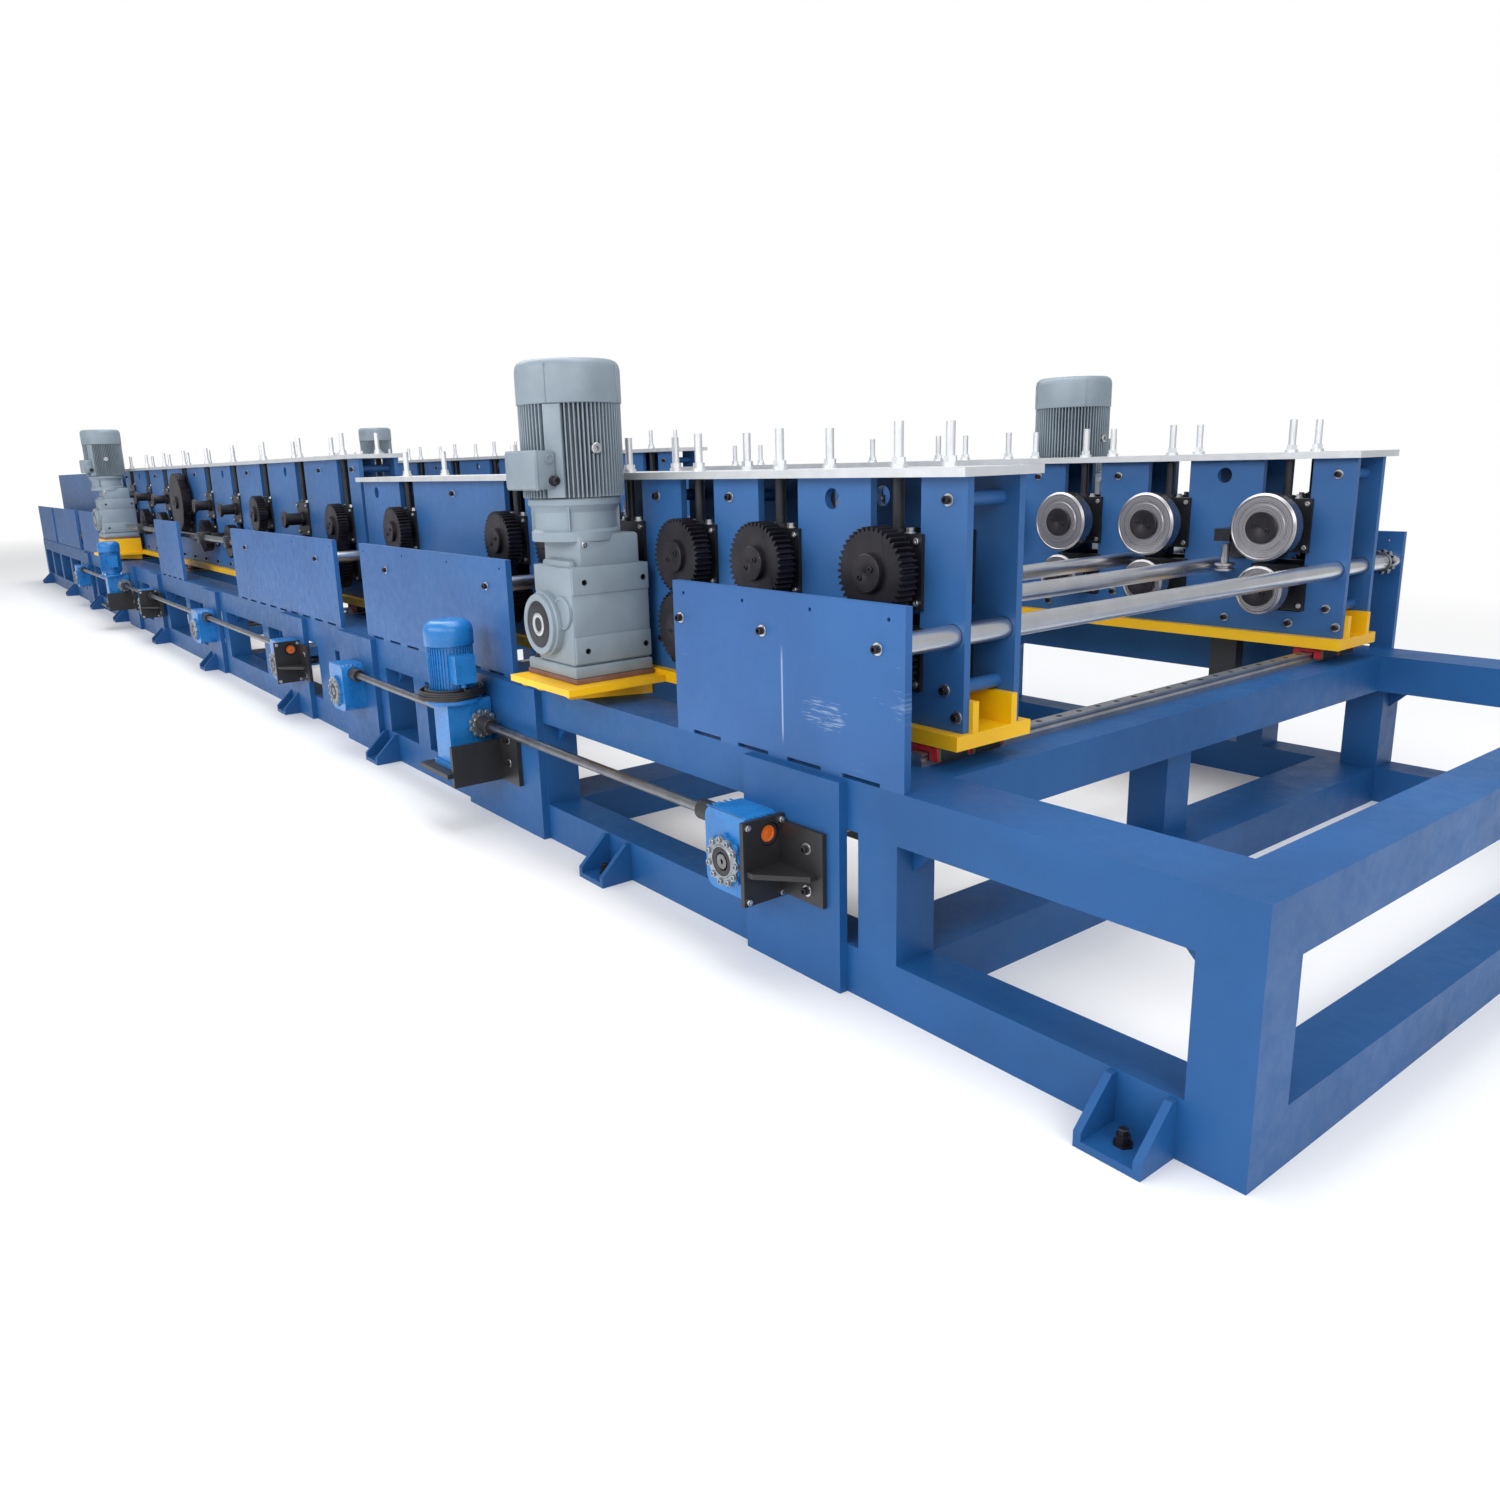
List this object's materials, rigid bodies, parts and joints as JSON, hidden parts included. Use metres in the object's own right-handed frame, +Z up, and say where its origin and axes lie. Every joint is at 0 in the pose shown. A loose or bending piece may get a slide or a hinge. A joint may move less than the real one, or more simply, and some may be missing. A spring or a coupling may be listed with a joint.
{
  "type": "roll forming machine",
  "caption": "Width-adjustable twin-side roll forming machine: geared roll stands in sliding side-plate rafts on a long welded base with worm-gear adjustment.",
  "frame": {"origin": "middle of the machine's footprint, on the floor", "axes": "+X along the machine towards its entry end, +Y across it towards its far side, +Z up"},
  "size_m": [19.3, 3.585, 2.039],
  "materials": {
    "blue_paint": "satin workshop enamel",
    "yellow_paint": "satin",
    "rail_steel": "ground",
    "chrome_bar": "polished",
    "reducer_blue": "gloss",
    "black_paint": "satin",
    "cable_black": "matt",
    "machined_steel": "machined",
    "black_oxide": "black oxide",
    "gearmotor_grey": "satin",
    "gear_steel": "oiled"
  },
  "bodies": {
    "base": {"base_sides_1": "blue_paint", "base_cross_1": "blue_paint", "base_sides_2": "blue_paint", "base_cross_2": "blue_paint", "base_sides_3": "blue_paint", "base_cross_3": "blue_paint", "linear_rails": "rail_steel", "guard_plates": "blue_paint", "guide_bars": "chrome_bar", "adjust_reducers": "reducer_blue", "adjust_brackets": "black_paint", "adjust_motors": "reducer_blue", "motor_cable": "cable_black", "lead_screws": "rail_steel", "adjust_shafts": "rail_steel"},
    "raft_a_near": {"a_near_plates": "blue_paint", "a_near_carriage": "yellow_paint", "a_near_top": "machined_steel", "a_near_blocks": "black_oxide", "a_near_drive": "gearmotor_grey", "a_near_train": "gear_steel"},
    "raft_a_far": {"a_far_plates": "blue_paint", "a_far_carriage": "yellow_paint", "a_far_top": "machined_steel", "a_far_blocks": "black_oxide", "a_far_drive": "gearmotor_grey", "a_far_train": "gear_steel"},
    "raft_b_near": {"b_near_plates": "blue_paint", "b_near_carriage": "yellow_paint", "b_near_top": "machined_steel", "b_near_blocks": "black_oxide", "b_near_drive": "gearmotor_grey", "b_near_train": "gear_steel"},
    "raft_b_far": {"b_far_plates": "blue_paint", "b_far_carriage": "yellow_paint", "b_far_top": "machined_steel", "b_far_blocks": "black_oxide", "b_far_drive": "gearmotor_grey", "b_far_train": "gear_steel"},
    "raft_c_near": {"c_near_plates": "blue_paint", "c_near_carriage": "yellow_paint"},
    "raft_c_far": {"c_far_plates": "blue_paint", "c_far_carriage": "yellow_paint"},
    "near_lower_1": {"near_lower_1": "gear_steel"},
    "near_lower_2": {"near_lower_2": "gear_steel"},
    "near_lower_3": {"near_lower_3": "gear_steel"},
    "near_upper_1": {"near_upper_1": "gear_steel"},
    "near_upper_2": {"near_upper_2": "gear_steel"},
    "near_upper_3": {"near_upper_3": "gear_steel"},
    "far_lower_1": {"far_lower_1": "gear_steel"},
    "far_lower_2": {"far_lower_2": "gear_steel"},
    "far_lower_3": {"far_lower_3": "gear_steel"},
    "far_upper_1": {"far_upper_1": "gear_steel"},
    "far_upper_2": {"far_upper_2": "gear_steel"},
    "far_upper_3": {"far_upper_3": "gear_steel"}
  },
  "joints": [
    {"name": "slide_a_near", "type": "slide", "parent": "base", "child": "raft_a_near", "axis": [0, 1, 0], "range_m": [-0.04, 0.6]},
    {"name": "slide_a_far", "type": "slide", "parent": "base", "child": "raft_a_far", "axis": [0, 1, 0], "range_m": [-0.6, 0.04]},
    {"name": "slide_b_near", "type": "slide", "parent": "base", "child": "raft_b_near", "axis": [0, 1, 0], "range_m": [-0.04, 0.6]},
    {"name": "slide_b_far", "type": "slide", "parent": "base", "child": "raft_b_far", "axis": [0, 1, 0], "range_m": [-0.6, 0.04]},
    {"name": "slide_c_near", "type": "slide", "parent": "base", "child": "raft_c_near", "axis": [0, 1, 0], "range_m": [-0.04, 0.6]},
    {"name": "slide_c_far", "type": "slide", "parent": "base", "child": "raft_c_far", "axis": [0, 1, 0], "range_m": [-0.6, 0.04]},
    {"name": "spin_near_lower_1", "type": "hinge", "parent": "raft_a_near", "child": "near_lower_1", "pos_m": [8.34, -1.079, 0.948], "axis": [0, 1, 0], "continuous": true},
    {"name": "spin_near_lower_2", "type": "hinge", "parent": "raft_a_near", "child": "near_lower_2", "pos_m": [7.813, -1.079, 0.948], "axis": [0, 1, 0], "continuous": true},
    {"name": "spin_near_lower_3", "type": "hinge", "parent": "raft_a_near", "child": "near_lower_3", "pos_m": [7.367, -1.079, 0.948], "axis": [0, 1, 0], "continuous": true},
    {"name": "spin_near_upper_1", "type": "hinge", "parent": "raft_a_near", "child": "near_upper_1", "pos_m": [8.34, -1.079, 1.2], "axis": [0, 1, 0], "continuous": true},
    {"name": "spin_near_upper_2", "type": "hinge", "parent": "raft_a_near", "child": "near_upper_2", "pos_m": [7.813, -1.079, 1.2], "axis": [0, 1, 0], "continuous": true},
    {"name": "spin_near_upper_3", "type": "hinge", "parent": "raft_a_near", "child": "near_upper_3", "pos_m": [7.367, -1.079, 1.2], "axis": [0, 1, 0], "continuous": true},
    {"name": "spin_far_lower_1", "type": "hinge", "parent": "raft_a_far", "child": "far_lower_1", "pos_m": [8.34, 1.186, 0.948], "axis": [0, 1, 0], "continuous": true},
    {"name": "spin_far_lower_2", "type": "hinge", "parent": "raft_a_far", "child": "far_lower_2", "pos_m": [7.813, 1.186, 0.948], "axis": [0, 1, 0], "continuous": true},
    {"name": "spin_far_lower_3", "type": "hinge", "parent": "raft_a_far", "child": "far_lower_3", "pos_m": [7.367, 1.186, 0.948], "axis": [0, 1, 0], "continuous": true},
    {"name": "spin_far_upper_1", "type": "hinge", "parent": "raft_a_far", "child": "far_upper_1", "pos_m": [8.34, 1.186, 1.2], "axis": [0, 1, 0], "continuous": true},
    {"name": "spin_far_upper_2", "type": "hinge", "parent": "raft_a_far", "child": "far_upper_2", "pos_m": [7.813, 1.186, 1.2], "axis": [0, 1, 0], "continuous": true},
    {"name": "spin_far_upper_3", "type": "hinge", "parent": "raft_a_far", "child": "far_upper_3", "pos_m": [7.367, 1.186, 1.2], "axis": [0, 1, 0], "continuous": true}
  ],
  "couplings": [
    {"joint": "slide_a_far", "follows": "slide_a_near", "ratio": -1},
    {"joint": "slide_b_far", "follows": "slide_b_near", "ratio": -1},
    {"joint": "slide_c_near", "follows": "slide_b_near", "ratio": 1},
    {"joint": "slide_c_far", "follows": "slide_b_near", "ratio": -1},
    {"joint": "spin_near_lower_2", "follows": "spin_near_lower_1", "ratio": 1},
    {"joint": "spin_near_lower_3", "follows": "spin_near_lower_1", "ratio": 1},
    {"joint": "spin_near_upper_1", "follows": "spin_near_lower_1", "ratio": -1},
    {"joint": "spin_near_upper_2", "follows": "spin_near_lower_1", "ratio": -1},
    {"joint": "spin_near_upper_3", "follows": "spin_near_lower_1", "ratio": -1},
    {"joint": "spin_far_lower_2", "follows": "spin_far_lower_1", "ratio": 1},
    {"joint": "spin_far_lower_3", "follows": "spin_far_lower_1", "ratio": 1},
    {"joint": "spin_far_upper_1", "follows": "spin_far_lower_1", "ratio": -1},
    {"joint": "spin_far_upper_2", "follows": "spin_far_lower_1", "ratio": -1},
    {"joint": "spin_far_upper_3", "follows": "spin_far_lower_1", "ratio": -1}
  ]
}
